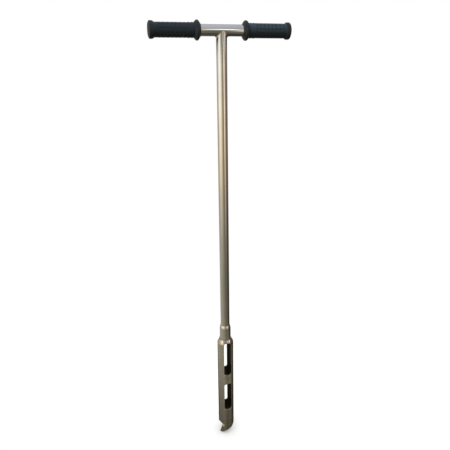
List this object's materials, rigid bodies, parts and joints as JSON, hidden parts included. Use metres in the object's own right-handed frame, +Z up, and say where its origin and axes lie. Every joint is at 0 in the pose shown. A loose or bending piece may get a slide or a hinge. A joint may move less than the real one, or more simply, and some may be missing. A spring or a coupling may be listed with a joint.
{
  "type": "soil probe",
  "caption": "T-handled hand soil sampler: a crossbar with rubber grips on a long straight shaft, and a windowed sampling tube that ends in a crown of hooked cutting teeth.",
  "frame": {"origin": "on the shaft's axis, at the level of the tooth tips", "axes": "+Z up the shaft to the crossbar, X along the crossbar"},
  "size_m": [0.3282, 0.0452, 1.1495],
  "materials": {
    "polished_stainless": "polished lengthwise",
    "dressed_weld": "ground and polished",
    "ground_steel": "satin, ground on the edges",
    "grip_rubber": "moulded, matt"
  },
  "bodies": {
    "root": {"crossbar": "polished_stainless", "left_grip": "grip_rubber", "right_grip": "grip_rubber", "shaft_tube": "polished_stainless", "socket_collar": "polished_stainless", "neck_weld": "dressed_weld", "head_shoulder": "polished_stainless", "sampler_tube": "polished_stainless", "cutting_crown": "ground_steel"}
  },
  "joints": []
}
